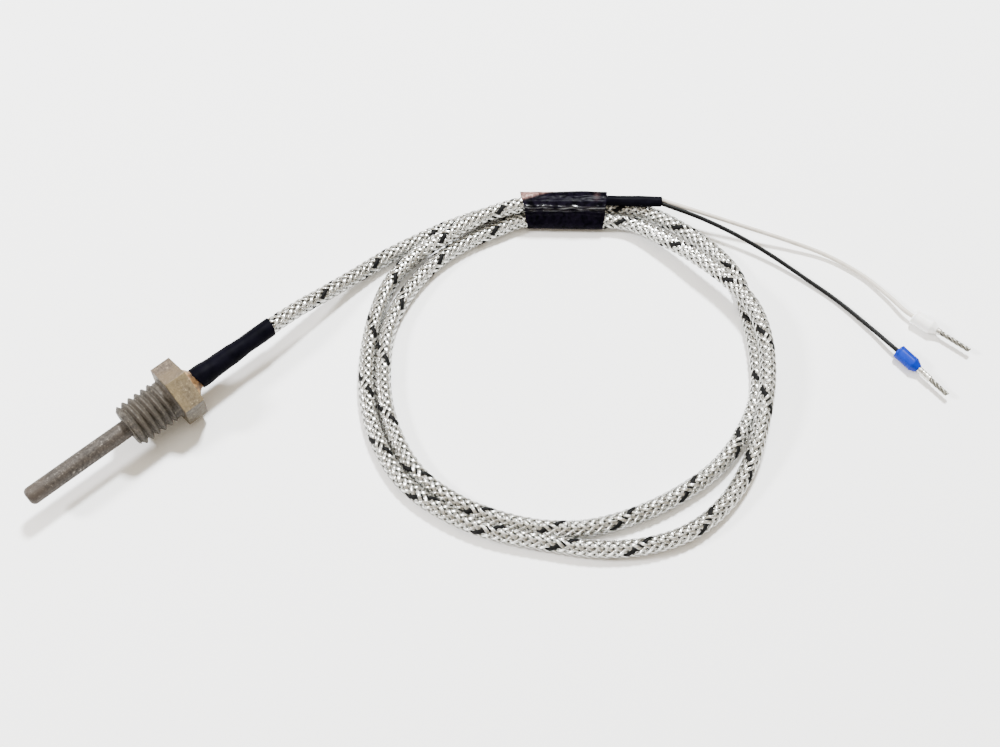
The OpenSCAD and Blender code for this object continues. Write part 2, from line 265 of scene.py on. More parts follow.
class Surface:
    """A Principled material being built. Most methods add a node and give its output."""

    def __init__(self, name):
        self.material = bpy.data.materials.new(name)
        self.material.use_nodes = True
        self.nodes = self.material.node_tree.nodes
        self.links = self.material.node_tree.links
        self.shader = next(n for n in self.nodes if n.type == "BSDF_PRINCIPLED")
        self.where = self.nodes.new("ShaderNodeTexCoord").outputs["Object"]

    def plug(self, socket, value):
        """Links a socket to an output, or sets it to a number, a colour or a vector."""
        if isinstance(value, bpy.types.NodeSocket):
            self.links.new(value, socket)
        elif socket.type == "RGBA":
            socket.default_value = (*value, 1)
        else:
            socket.default_value = value

    def feed(self, name, value):
        """Gives one of the shader's inputs a value or an output."""
        self.plug(self.shader.inputs[name], value)

    def grain(self, scale, detail=4, roughness=0.55, distortion=0):
        """Noise from 0 to 1 in object space."""
        node = self.nodes.new("ShaderNodeTexNoise")
        self.plug(node.inputs["Vector"], self.where)
        self.plug(node.inputs["Scale"], scale)
        self.plug(node.inputs["Detail"], detail)
        self.plug(node.inputs["Roughness"], roughness)
        self.plug(node.inputs["Distortion"], distortion)
        return node.outputs["Fac"]

    def attribute(self, name, output="Fac"):
        node = self.nodes.new("ShaderNodeAttribute")
        node.attribute_name = name
        return node.outputs[output]

    def ramp(self, source, stops):
        """Turns numbers into colours. Each stop is a place and an (r, g, b) or a grey number."""
        node = self.nodes.new("ShaderNodeValToRGB")
        elements = node.color_ramp.elements
        while len(elements) < len(stops):
            elements.new(0.5)
        for element, (place, colour) in zip(elements, stops):
            element.position = place
            element.color = (*colour, 1) if isinstance(colour, tuple) else (colour, colour, colour, 1)
        self.plug(node.inputs["Fac"], source)
        return node.outputs["Color"]

    def mix(self, factor, first, second, blend="MIX"):
        node = self.nodes.new("ShaderNodeMix")
        node.data_type = "RGBA"
        node.blend_type = blend
        self.plug(node.inputs["Factor"], factor)
        self.plug(node.inputs["A"], first)
        self.plug(node.inputs["B"], second)
        return node.outputs["Result"]

    def waves(self, source, count):
        """A sine that goes round count times while source goes from 0 to 1."""
        angle = self.nodes.new("ShaderNodeMath")
        angle.operation = "MULTIPLY"
        self.plug(angle.inputs[0], source)
        self.plug(angle.inputs[1], 2 * math.pi * count)
        sine = self.nodes.new("ShaderNodeMath")
        sine.operation = "SINE"
        self.plug(sine.inputs[0], angle.outputs[0])
        return sine.outputs[0]

    def bump(self, height, strength, depth_mm):
        """Roughens the shader's normal."""
        node = self.nodes.new("ShaderNodeBump")
        self.plug(node.inputs["Strength"], strength)
        self.plug(node.inputs["Distance"], depth_mm * MM)
        self.plug(node.inputs["Height"], height)
        self.feed("Normal", node.outputs["Normal"])


# ---------------------------------------------------------------- materials

WIRES_PER_BAND = 3


def braid_metal():
    """Bright fine wires laid side by side in each band of the braid."""
    look = Surface("braid_metal")
    tone = look.grain(1500, 4, 0.7)
    look.feed("Base Color", look.ramp(tone, [
        (0.28, (0.27, 0.27, 0.25)), (0.48, (0.54, 0.54, 0.515)), (0.7, (0.92, 0.92, 0.90))]))
    look.feed("Metallic", 0.95)
    look.feed("Roughness", look.ramp(tone, [(0.3, 0.16), (0.8, 0.34)]))
    look.bump(look.waves(look.attribute("pattern"), WIRES_PER_BAND), 0.5, 0.04)
    return look.material


def tracer_yarn():
    look = Surface("tracer_yarn")
    fibres = look.grain(2500, 3)
    look.feed("Base Color", look.ramp(fibres, [(0.3, 0.0015), (0.8, 0.007)]))
    look.feed("Roughness", 0.6)
    look.feed("Specular IOR Level", 0.08)
    look.bump(fibres, 0.4, 0.05)
    return look.material


def dark_core():
    look = Surface("braid_core")
    fibres = look.grain(1200, 3)
    look.feed("Base Color", look.ramp(fibres, [
        (0.3, (0.05, 0.05, 0.043)), (0.8, (0.16, 0.16, 0.145))]))
    look.feed("Roughness", 0.7)
    return look.material


def heat_shrink():
    """Matt black sleeve, very slightly blue."""
    look = Surface("heat_shrink_black")
    mottle = look.grain(450, 5)
    look.feed("Base Color", look.ramp(mottle, [
        (0.3, (0.001, 0.001, 0.002)), (0.75, (0.003, 0.0027, 0.0055))]))
    look.feed("Roughness", look.ramp(mottle, [(0.3, 0.42), (0.75, 0.58)]))
    look.feed("Specular IOR Level", 0.015)
    look.bump(look.grain(3200, 4), 0.2, 0.03)
    return look.material


def film_tape():
    """Black film with small wrinkles. The attribute "sheen" marks where it shines, and a second
    attribute marks a pinkish-brown reflection painted into its colour."""
    look = Surface("film_tape_black")
    crinkle = look.grain(900, 3, distortion=1.2)
    black_film = look.ramp(crinkle, [(0.35, (0.0006, 0.0006, 0.0012)), (0.65, (0.004, 0.003, 0.007))])
    reflection_pink = look.ramp(crinkle, [
        (0.35, (0.05, 0.024, 0.022)), (0.6, (0.27, 0.16, 0.14)), (0.7, (0.55, 0.42, 0.39))])
    # Painted reflection: pinkish brown mixed into the black where the attribute is set
    look.feed("Base Color", look.mix(look.attribute("painted_reflection"), black_film, reflection_pink))
    look.feed("Roughness", look.ramp(crinkle, [(0.3, 0.20), (0.8, 0.30)]))
    gloss = look.ramp(look.attribute("sheen"), [(0, 0.008), (0.15, 0.03), (1, 0.8)])
    look.feed("Specular IOR Level", gloss)
    look.bump(crinkle, 0.12, 0.08)
    return look.material


def grainy_steel(name, tones, warm, metallic, gloss, grain=1500, tint=None):
    """Dull blasted and oxidised steel. tones are its dark, light and glinting grains, warm is
    the colour of its blotches, gloss its least and most roughness, and tint names a colour
    attribute that it is multiplied by."""
    look = Surface(name)
    speck = look.grain(grain, 5, 0.7)
    blotch = look.ramp(look.grain(240, 4), [(0.42, 0), (0.64, 0.75)])
    colour = look.mix(blotch, look.ramp(speck, list(zip((0.36, 0.6, 0.7), tones))), warm)
    if tint:
        colour = look.mix(1, colour, look.attribute(tint, "Color"), "MULTIPLY")
    look.feed("Base Color", colour)
    look.feed("Metallic", metallic)
    look.feed("Roughness", look.ramp(speck, [(0.35, gloss[1]), (0.68, gloss[0])]))
    look.bump(speck, 0.6, 0.08)
    return look.material


def braze_flux():
    look = Surface("braze_flux")
    lumps = look.grain(800, 5)
    look.feed("Base Color", look.ramp(lumps, [
        (0.3, (0.03, 0.015, 0.005)), (0.5, (0.15, 0.075, 0.024)), (0.7, (0.42, 0.27, 0.11))]))
    look.feed("Roughness", 0.5)
    look.feed("Metallic", 0.25)
    look.bump(lumps, 0.8, 0.1)
    return look.material


def plastic(name, shade, light, roughness, subsurface=0, specular=0.5):
    """Moulded or extruded plastic with slight mottling."""
    look = Surface(name)
    mottle = look.grain(700, 4)
    look.feed("Base Color", look.ramp(mottle, [(0.3, shade), (0.7, light)]))
    look.feed("Roughness", look.ramp(mottle, [(0.3, roughness - 0.06), (0.7, roughness + 0.08)]))
    look.feed("Specular IOR Level", specular)
    if subsurface:
        look.feed("Subsurface Weight", subsurface)
        look.feed("Subsurface Radius", (0.001, 0.0008, 0.0006))
        look.feed("Subsurface Scale", 0.5)
    look.bump(look.grain(5000, 3), 0.1, 0.03)
    return look.material


def tinned_wire(name, dark, light, gloss):
    look = Surface(name)
    tone = look.grain(1300, 4)
    look.feed("Base Color", look.ramp(tone, [(0.3, dark), (0.7, light)]))
    look.feed("Metallic", 0.9)
    look.feed("Roughness", look.ramp(tone, [(0.3, gloss), (0.7, gloss + 0.18)]))
    look.bump(tone, 0.2, 0.03)
    return look.material


MATERIALS = {
    "stem": grainy_steel(
        "stem_steel", ((0.016, 0.012, 0.009), (0.050, 0.041, 0.033), (0.24, 0.215, 0.185)),
        warm=(0.046, 0.034, 0.025), metallic=0.3, gloss=(0.5, 0.72), grain=1900),
    "bushing": grainy_steel(
        "thread_steel", ((0.020, 0.016, 0.012), (0.054, 0.045, 0.034), (0.15, 0.13, 0.10)),
        warm=(0.046, 0.036, 0.025), metallic=0.25, gloss=(0.6, 0.8)),
    # Multiplied by a colour attribute of painted light and shade, one for each flat of the hexagon
    "hexagon": grainy_steel(
        "hexagon_steel", ((0.045, 0.036, 0.026), (0.105, 0.087, 0.065), (0.34, 0.30, 0.20)),
        warm=(0.115, 0.091, 0.052), metallic=0.35, gloss=(0.5, 0.72), grain=1700, tint="painted_flat_shade"),
    "braze": braze_flux(),
    "shrink": heat_shrink(),
    "tape": film_tape(),
    "braid": braid_metal(),
    "tracer": tracer_yarn(),
    "core": dark_core(),
    "black_wire": plastic("black_insulation", 0.0015, 0.004, 0.45, specular=0.1),
    "white_wire": plastic("white_insulation", (0.46, 0.42, 0.36), (0.58, 0.54, 0.48), 0.45),
    "blue": plastic(
        "blue_collar_plastic", (0.0005, 0.012, 0.20), (0.001, 0.022, 0.31), 0.35, specular=0.12),
    "white": plastic(
        "white_collar_plastic", (0.90, 0.89, 0.865), (0.955, 0.95, 0.935), 0.35, subsurface=0.15),
    "tin": tinned_wire("tinned_barrel", (0.40, 0.39, 0.35), (0.72, 0.71, 0.66), 0.22),
    "strand": tinned_wire("tinned_strands", (0.07, 0.065, 0.055), (0.34, 0.33, 0.29), 0.26),
    "cement": plastic("potting_cement", (0.55, 0.52, 0.45), (0.8, 0.78, 0.7), 0.8),
    "seal": plastic("rear_seal_resin", (0.12, 0.07, 0.035), (0.3, 0.2, 0.1), 0.4),
}

# The hidden nodes keep their CAD shape
INNER_NODES = {
    "measuring_junction": "tin",
    "positive_conductor": "tin",
    "negative_conductor": "tin",
    "white_core_insulation": "white_wire",
    "black_core_insulation": "black_wire",
    "tip_cement": "cement",
    "rear_seal": "seal",
}


def paint_cad_nodes():
    for name, key in INNER_NODES.items():
        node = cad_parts[name]
        if not node.material_slots:
            node.data.materials.append(MATERIALS[key])
        for slot in node.material_slots:
            slot.material = MATERIALS[key]


paint_cad_nodes()

# ---------------------------------------------------------------- braided lead

BRAID_R = 1.48 * MM
BRAID_LAY = 12.4 * MM  # length in which a band goes once round
CARRIERS = 8           # bands in each direction
BAND_WIDTH = 0.6 * MM
TRACER_WIDTH = 0.78 * MM
BAND_THICK = 0.13 * MM
WEAVE_RISE = 0.10 * MM
CORE_R = 1.08 * MM
CORE_SPACING = 0.8 * MM
SAMPLES_PER_CROSSING = 3

# A band's section: an arched top of four points, and one point under its middle. In half
# widths across it, and in thicknesses up from its middle
BAND_ACROSS = np.array([-1, -0.45, 0.45, 1, 0])
BAND_LIFT = np.array([-0.15, 0.5, 0.5, -0.15, -0.5])


def crossing_height(index, crossing):
    """+1 where a right-hand band lies on top and -1 where it lies under, for a weave that
    passes over two bands and under two. index is the band, crossing counts along it."""
    wave = 1.45 * np.cos(2 * math.pi * (crossing + 2 * index + 1.5) / 4)
    return np.clip(wave, -1, 1)


def band_mesh(name, direction, index, width, path):
    """One flat band of fine wires, wound round the lead in one direction."""
    side, up = path_frames(path)
    run = run_along(path)
    crossing = run / BRAID_LAY * 2 * CARRIERS
    if direction > 0:
        height = crossing_height(index, crossing)
    else:
        # At this band's crossing m it meets right-hand band index - m
        height = -crossing_height(index - crossing, crossing)
    angle = -2 * math.pi * (direction * run / BRAID_LAY + index / CARRIERS)
    middle_r = BRAID_R - BAND_THICK / 2 - WEAVE_RISE
    radius = middle_r + WEAVE_RISE * height
    lay_slope = 2 * math.pi * middle_r / BRAID_LAY
    half = width / 2 / middle_r * math.sqrt(1 + lay_slope**2)
    a = angle[:, None] + BAND_ACROSS[None, :] * half
    r = radius[:, None] + (BAND_LIFT * BAND_THICK)[None, :]
    rings = (path[:, None, :]
             + (r * np.cos(a))[..., None] * side[:, None, :]
             + (r * np.sin(a))[..., None] * up[:, None, :])
    mesh = grid_mesh(name, rings[:, ::-1])
    keep_values(mesh, "pattern", np.broadcast_to((BAND_ACROSS * 0.5 + 0.5)[None, :], a.shape))
    return mesh


def build_braid():
    """The braid's pieces, and the lead's middle line."""
    route = from_boot(LEAD_ROUTE)
    path = smooth_path(route, BRAID_LAY / (2 * CARRIERS * SAMPLES_PER_CROSSING))
    left = [band_mesh("band", -1, k, BAND_WIDTH, path) for k in range(CARRIERS)]
    right = [band_mesh("band", 1, k, BAND_WIDTH, path) for k in range(1, CARRIERS)]
    tracer = band_mesh("braid_tracer", 1, 0, TRACER_WIDTH, path)
    middle = smooth_path(route, CORE_SPACING)
    core = grid_mesh("braid_core", round_rings(middle, CORE_R))
    pieces = [
        finish_piece("braid_wires_left", join_meshes("braid_wires_left", left),
                     MATERIALS["braid"], ["braided_lead"]),
        finish_piece("braid_wires_right", join_meshes("braid_wires_right", right),
                     MATERIALS["braid"]),
        finish_piece("braid_tracer", tracer, MATERIALS["tracer"]),
        finish_piece("braid_core", core, MATERIALS["core"]),
    ]
    return pieces, middle


braid_pieces, lead_path = build_braid()

# ---------------------------------------------------------------- wires at the far end

WIRE_R = 0.4 * MM
WIRE_SPACING = 0.5 * MM


def build_wire(colour, route):
    """An insulated wire and its middle line."""
    path = smooth_path(from_boot(route), WIRE_SPACING)
    name = f"{colour}_wire_insulation"
    mesh = grid_mesh(name, round_rings(path, WIRE_R))
    piece = finish_piece(
        name, mesh, MATERIALS[f"{colour}_wire"], [f"{colour}_wire"])
    return piece, path


black_wire, black_path = build_wire("black", BLACK_ROUTE)
white_wire, white_path = build_wire("white", WHITE_ROUTE)

# ---------------------------------------------------------------- shapes turned round an axis

def axis_frame(start, direction):
    """A place on a straight axis and three unit vectors: along, sideways and up."""
    along = Vector(direction).normalized()
    side = Vector((0, 0, 1)).cross(along).normalized()
    return Vector(start), along, side, along.cross(side)


def rough(x, angle, scale, seed):
    """Smooth noise over a turned surface that joins up all the way round."""
    return noise.noise(Vector((x * scale, 2 * math.cos(angle) + seed, 2 * math.sin(angle) - seed)))


def turned_mesh(name, profile, sides, place, reach, looped=False):
    """A surface turned round an axis. profile lists (x, radius) in mm, reach(x, r, angle) gives
    the (x, r) to use there, and a looped profile's end joins its start."""
    start, along, side, up = place
    rings = []
    for x, r in profile:
        ring = []
        for k in range(sides):
            a = 2 * math.pi * k / sides
            px, pr = reach(x, r, a)
            ring.append(start + along * (px * MM)
                        + (side * math.cos(a) + up * math.sin(a)) * (pr * MM))
        rings.append(ring)
    return grid_mesh(name, np.array(rings), looped)


def dense_profile(corners, step):
    """Points no more than step apart along a profile's straight runs."""
    points = [corners[0]]
    for (xa, ra), (xb, rb) in zip(corners, corners[1:]):
        parts = max(1, math.ceil(math.hypot(xb - xa, rb - ra) / step))
        for n in range(1, parts + 1):
            points.append((xa + (xb - xa) * n / parts, ra + (rb - ra) * n / parts))
    return points


def eased(corners, x):
    """A smooth curve through corners, a list of (x, value)."""
    if x <= corners[0][0]:
        return corners[0][1]
    for (xa, va), (xb, vb) in zip(corners, corners[1:]):
        if x <= xb:
            t = (x - xa) / (xb - xa)
            return va + (vb - va) * t * t * (3 - 2 * t)
    return corners[-1][1]


PROBE = axis_frame((0, 0, AXIS_Z), (1, 0, 0))

# ---------------------------------------------------------------- stem

TIP_CORNER_MM = 0.9  # radius of the tip's rounded edge
STEM_PAST_BUSH_MM = 1  # how far the stem runs on inside the bushing


def build_stem():
    tip = STEM_LOW.x / MM
    radius = STEM_R / MM
    turns = [math.pi / 2 * n / 8 for n in range(8, -1, -1)]
    corner = [(tip + TIP_CORNER_MM * (1 - math.sin(t)), radius - TIP_CORNER_MM * (1 - math.cos(t)))
              for t in turns]
    shaft = dense_profile([corner[-1], (BUSH_LOW.x / MM + STEM_PAST_BUSH_MM, radius)], 0.4)
    profile = [(tip + 0.06, 0.05), (tip + 0.03, 0.35), *corner, *shaft[1:]]

    def reach(x, r, a):
        return x + 0.02 * rough(x, a, 1.5, 3), r * (1 + 0.006 * rough(x, a, 0.5, 7))

    mesh = turned_mesh("stem_tube", profile, 64, PROBE, reach)
    finish_piece("stem_tube", mesh, MATERIALS["stem"], ["probe_stem"])


build_stem()

# ---------------------------------------------------------------- bushing

THREAD_MM = 4.0            # radius at the crests
THREAD_DEPTH_MM = 0.66
THREAD_LENGTH_MM = 8.6     # the neck included
THREAD_START_MM = 0.35     # the first groove, from the front face
PITCH_MM = 1.25
ROOT_SHARE = 0.08          # flat bottom and sloped flanks of a groove, as shares of the pitch
FLANK_SHARE = 0.76
LEAD_IN_MM, LEAD_IN_SLOPE = 3.3, 1.1
NECK_LENGTH_MM = 1.5
NECK_MM = 3.68
NECK_EASE_MM = 0.35        # run-out of the thread, and fillet under the hexagon
SHANK_BORE_MM = 1.4
CUT_FROM_MM = 2.5          # radius inside which the front face stays flat
HEX_CORNER_MM = 10 / math.sqrt(3)
HEX_ROLL = math.radians(10)
HEX_BEVEL_MM = 0.09
BEVEL_FACE_AREA = 1.5e-6   # square metres: a smaller face belongs to a bevel
# Painted light and shade on the flats, by the (y, z) that a flat faces: the top one pinkish grey, the
# one that faces the camera painted brightest and sandy, the low one painted darker and dull. The other
# faces share one shade
HEX_TONES = [
    ((0.34, 0.94), (1.02, 0.92, 0.90)),
    ((-0.64, 0.77), (1.6, 1.5, 1.22)),
    ((-0.98, -0.17), (0.62, 0.59, 0.52)),
]
HEX_TONE_ELSEWHERE = (0.85, 0.8, 0.75)


def thread_reach(x, r, a):
    """Cuts a right-hand V thread into the shank and leaves a plain neck behind it."""
    from_front = x - BUSH_LOW.x / MM
    if r < CUT_FROM_MM or from_front > THREAD_LENGTH_MM:
        return x, r
    phase = ((from_front - THREAD_START_MM) / PITCH_MM - a / (2 * math.pi)) % 1
    rise = min(1, max(0, (abs(phase - 0.5) * 2 - ROOT_SHARE) / FLANK_SHARE))
    cut = THREAD_MM - THREAD_DEPTH_MM * (1 - rise)
    lead_in = LEAD_IN_MM + from_front * LEAD_IN_SLOPE
    neck_from = THREAD_LENGTH_MM - NECK_LENGTH_MM
    neck = eased([(0, 0), (neck_from, 0), (neck_from + NECK_EASE_MM, 1)], from_front)
    neck_r = min(cut, NECK_MM) * 0.25 + NECK_MM * 0.75
    foot = max(0, NECK_EASE_MM - (THREAD_LENGTH_MM - from_front))
    out = min(cut, lead_in) * (1 - neck) + neck_r * neck + foot
    return x, out * (1 + 0.004 * rough(x, a, 2.5, 11))


def build_shank():
    front = BUSH_LOW.x / MM
    back = front + THREAD_LENGTH_MM
    skin = dense_profile([(front, LEAD_IN_MM), (back, THREAD_MM)], 0.05)
    profile = [(front, SHANK_BORE_MM), *skin, (back + 0.2, THREAD_MM), (back + 0.2, SHANK_BORE_MM)]
    mesh = turned_mesh("bushing_thread", profile, 96, PROBE, thread_reach)
    finish_piece(
        "bushing_thread", mesh, MATERIALS["bushing"], ["threaded_bushing"])


def hexagon_shape():
    """A hexagonal plate with broken edges."""
    shape = bmesh.new()
    rings = []
    for x in (BUSH_LOW.x + THREAD_LENGTH_MM * MM, BUSH_HIGH.x):
        ring = []
        for k in range(6):
            a = HEX_ROLL + k * math.pi / 3
            ring.append(shape.verts.new((x, HEX_CORNER_MM * MM * math.sin(a),
                                         AXIS_Z - HEX_CORNER_MM * MM * math.cos(a))))
        rings.append(ring)
    for k in range(6):
        n = (k + 1) % 6
        shape.faces.new((rings[0][k], rings[0][n], rings[1][n], rings[1][k]))
    shape.faces.new(rings[0][::-1])
    shape.faces.new(rings[1])
    bmesh.ops.recalc_face_normals(shape, faces=shape.faces)
    bmesh.ops.bevel(shape, geom=list(shape.edges), offset=HEX_BEVEL_MM * MM, segments=2,
                    affect="EDGES", profile=0.6)
    bmesh.ops.recalc_face_normals(shape, faces=shape.faces)
    return shape


def build_hexagon():
    """The hexagon. Each flat has its own painted shade."""
    shape = hexagon_shape()
    mesh = bpy.data.meshes.new("bushing_hexagon")
    shape.to_mesh(mesh)
    shape.free()
    # Colour multipliers by the way each flat faces: painted light and shade
    painted_flat_shade = mesh.color_attributes.new("painted_flat_shade", "FLOAT_COLOR", "CORNER")
    for polygon in mesh.polygons:
        tone = HEX_TONE_ELSEWHERE
        for (y, z), colour in HEX_TONES:
            if polygon.normal.y * y + polygon.normal.z * z > 0.9:
                tone = colour
        for loop in polygon.loop_indices:
            painted_flat_shade.data[loop].color = (*tone, 1)
    finish_piece("bushing_hexagon", mesh, MATERIALS["hexagon"], smooth=False)
    for polygon in mesh.polygons:
        polygon.use_smooth = polygon.area < BEVEL_FACE_AREA


build_shank()
build_hexagon()

# ---------------------------------------------------------------- braze

# Outline of the braze: x from the hexagon's back face, and radius. It starts inside the hexagon
BRAZE_OUTLINE = [(-0.3, 1.4), (-0.3, 2.7), (0.1, 2.95), (0.5, 2.75), (0.95, 2.25), (1.35, 1.85),
                 (2.2, 1.6), (2.2, 1.4)]
BRAZE_BORE_MM = 1.55  # inside this radius there are no lumps


def build_braze():
    back = BUSH_HIGH.x / MM
    profile = dense_profile([(back + x, r) for x, r in BRAZE_OUTLINE], 0.12)

    def reach(x, r, a):
        if r < BRAZE_BORE_MM:
            return x, r
        lumps = 0.22 * rough(x, a, 0.9, 5) + 0.09 * rough(x * 2.2, 2 * a, 1.1, 9)
        return x + 0.12 * rough(x, a, 0.8, 2), r * (1 + lumps * 0.55)

    mesh = turned_mesh("braze_ring", profile, 72, PROBE, reach)
    finish_piece("braze_ring", mesh, MATERIALS["braze"], ["braze_collar"])


build_braze()

# ---------------------------------------------------------------- heat-shrink boot

# Radius at each distance from the boot's front
BOOT_RADII = [(0, 2.05), (1.8, 2.06), (3.2, 1.9), (4.4, 1.85), (7.5, 1.80), (9.2, 1.69),
              (10.6, 1.61), (12.2, 1.65), (14, 1.67), (16.2, 1.65)]
BOOT_WALL_MM = 0.24
BOOT_RIM_MM = 0.07       # rounding of its ends
BOOT_END_MM = 2.5        # length over which an end is cut askew
BOOT_FRONT_SKEW = -0.5
BOOT_BACK_SKEW = 0.32
BOOT_STEPS = 72


def build_boot():
    front, back = BOOT_LOW.x / MM, BOOT_HIGH.x / MM
    length = (BOOT_HIGH.x - BOOT_LOW.x) / MM
    outer = []
    for n in range(BOOT_STEPS + 1):
        x = front + length * n / BOOT_STEPS
        outer.append((x, eased(BOOT_RADII, x - front)))
    mouth_r = outer[-1][1]
    front_r = BOOT_RADII[0][1]
    profile = [
        *outer[:-1], (back - BOOT_RIM_MM * 0.3, mouth_r), (back, mouth_r - BOOT_RIM_MM),
        (back, 1.44), (back - 1.5, 1.42), (front + length / 2, 1.4), (front + 3, 1.52),
        (front + 1.2, 1.6), (front + 0.3, front_r - BOOT_WALL_MM),
        (front, front_r - BOOT_WALL_MM + 0.05), (front - 0.03, front_r - BOOT_RIM_MM),
    ]

    def reach(x, r, a):
        along = x - front
        at_front = max(0, 1 - along / BOOT_END_MM)
        at_back = max(0, 1 - (length - along) / BOOT_END_MM)
        skew = BOOT_BACK_SKEW * at_back + BOOT_FRONT_SKEW * at_front
        cut = skew * (0.6 * math.sin(a) + 0.8 * math.cos(a)) * r / 2
        ragged = 0.10 * at_front * rough(1, 3 * a, 1, 4)
        if r < 1.5:
            return x + cut + ragged, r
        wave = 0.02 * rough(x, a, 0.45, 1) + 0.012 * rough(x, 2 * a, 1.2, 8) * (1 + 2 * at_front)
        oval = 0.018 * math.cos(2 * a + 0.8) * (1 + at_front)
        return x + cut + ragged, r * (1 + wave + oval)

    mesh = turned_mesh("boot_sleeve", profile, 72, PROBE, reach, looped=True)
    finish_piece("boot_sleeve", mesh, MATERIALS["shrink"], ["heat_shrink_boot"])


build_boot()

# ---------------------------------------------------------------- tape

TAPE_START_MM = (52.15, -9.6)
TAPE_TURN = math.radians(-42.9)
TAPE_LENGTH_MM = 15.6
TAPE_STEPS = 96
TAPE_SIDES = 132
# Middles of the strands that it binds, as (across, up), and from there to its outside
TAPE_CENTRES = [(-1.5, 1.8), (1.5, 1.8), (1.2, 4.5), (0, 4.5)]
TAPE_OUT_MM = 1.66
TAPE_WALL_MM = 0.14
TAPE_FLOOR_MM = 0.06
# Folds that run lengthways: share of the way round, height in mm and width as a share
TAPE_FOLDS = [(0.387, 0.36, 0.013), (0.423, 0.30, 0.009), (0.456, 0.14, 0.01), (0.27, 0.07, 0.016)]


def wander(x, y, z):
    return noise.noise(Vector((x, y, z)))


def hull_outline(centres, radius, count):
    """The outline of a band stretched round circles, as count points an even way apart."""
    around = []
    for n in range(720):
        a = 2 * math.pi * n / 720
        d = (math.cos(a), math.sin(a))
        far = max(centres, key=lambda c: c[0] * d[0] + c[1] * d[1])
        around.append((far[0] + radius * d[0], far[1] + radius * d[1]))
    around = np.array(around + around[:1])
    run = run_along(around)
    at = np.linspace(0, run[-1], count, endpoint=False)
    return np.stack([np.interp(at, run, around[:, k]) for k in range(2)], axis=1)


def tape_fold(t, share):
    """Height of the folds at t of the tape's length and share of the way round it."""
    fold = 0
    for place, height, width in TAPE_FOLDS:
        drift = 0.35 * math.sin(5.2 * t + 60 * place) + wander(t * 7, place * 30, 0)
        ripple = 0.8 + 0.7 * wander(t * 16, place * 40, 1)
        d = (share - place - 0.013 * drift) / width
        fold += height * ripple * math.exp(-d * d)
    return fold


def tape_sheen(t, share, fold):
    """A patchy wavering streak, brightest on the folds."""
    sway = 0.35 * math.sin(5.2 * t + 0.6) + 0.5 * wander(t * 6, 0.2, 0)
    patches = 0.5 + 1.3 * wander(t * 9, share * 60, 8)
    glow = math.exp(-((share - 0.40 - 0.012 * sway) / 0.027) ** 2) * max(0.1, min(1, patches))
    return glow * (0.35 + 0.65 * min(1, abs(fold) * 9))


def tape_painted_reflection(t, share):
    """Painted reflection: a pinkish corner at the tape's start, and a faint spot near its end."""
    corner = min(1, max(0, (0.33 - 0.3 * t - share) * 25)) * min(1, max(0, (0.46 - t) * 6))
    spot = max(0, 1 - 18 * abs(t - 0.88)) * max(0, 1 - 12 * abs(share - 0.26))
    return corner + 0.12 * spot


def build_tape():
    outline = hull_outline(TAPE_CENTRES, TAPE_OUT_MM, TAPE_SIDES)
    tangent = np.roll(outline, -1, axis=0) - np.roll(outline, 1, axis=0)
    tangent /= np.linalg.norm(tangent, axis=1)[:, None]
    normal = np.stack([tangent[:, 1], -tangent[:, 0]], axis=1)
    base = Vector((EXIT.x + TAPE_START_MM[0] * MM, TAPE_START_MM[1] * MM, 0))
    along = Vector((math.cos(TAPE_TURN), math.sin(TAPE_TURN), 0))
    across = Vector((-along.y, along.x, 0))

    def place(u, w, z):
        return base + along * (u * MM) + across * (w * MM) + Vector((0, 0, z * MM))

    rings_out, rings_in, sheens, painted_reflections = [], [], [], []
    for n in range(TAPE_STEPS + 1):
        t = n / TAPE_STEPS
        outer, inner = [], []
        for k in range(TAPE_SIDES):
            w, z = outline[k]
            share = k / TAPE_SIDES
            # Both ends are cut askew: seen from in front, the higher places reach further out
            lean = (0.87 * w + 0.5 * z - 1.5) / 3.5
            ends = (-0.75 * lean + 0.1) * (1 - t) ** 3 + (0.35 * lean - 0.1) * t ** 3
            u = TAPE_LENGTH_MM * t + ends + 0.08 * wander(share * 9, t, 3)
            # The bundle is fuller right of the middle
            full = 0.16 * math.exp(-((t - 0.72) / 0.2) ** 2) * max(0, lean) - 0.10 * (1 - t) ** 2
            fold = tape_fold(t, share)
            crease = 0.05 * wander(t * 5, share * 26, 6) + 0.03 * wander(t * 16, share * 60, 2)
            p = outline[k] + normal[k] * (full + fold + crease)
            q = outline[k] - normal[k] * TAPE_WALL_MM
            outer.append(place(u, p[0], max(p[1], TAPE_FLOOR_MM)))
            inner.append(place(u, q[0], q[1]))
            sheens.append(tape_sheen(t, share, fold))
            # How much painted pinkish reflection each point gets
            painted_reflections.append(tape_painted_reflection(t, share))
        rings_out.append(outer)
        rings_in.append(inner)
    mesh = grid_mesh("tape_band", np.array(rings_out + rings_in[::-1]), looped=True)
    # The inside has neither
    keep_values(mesh, "sheen", sheens + [0] * len(sheens))
    keep_values(mesh, "painted_reflection", painted_reflections + [0] * len(painted_reflections))
    return finish_piece("tape_band", mesh, MATERIALS["tape"], ["binding_tape"])


tape = build_tape()

# ---------------------------------------------------------------- sleeve at the lead's far end

SLEEVE_R_MM = 1.0
SLEEVE_BORE_MM = 0.8
SLEEVE_STEPS = 40


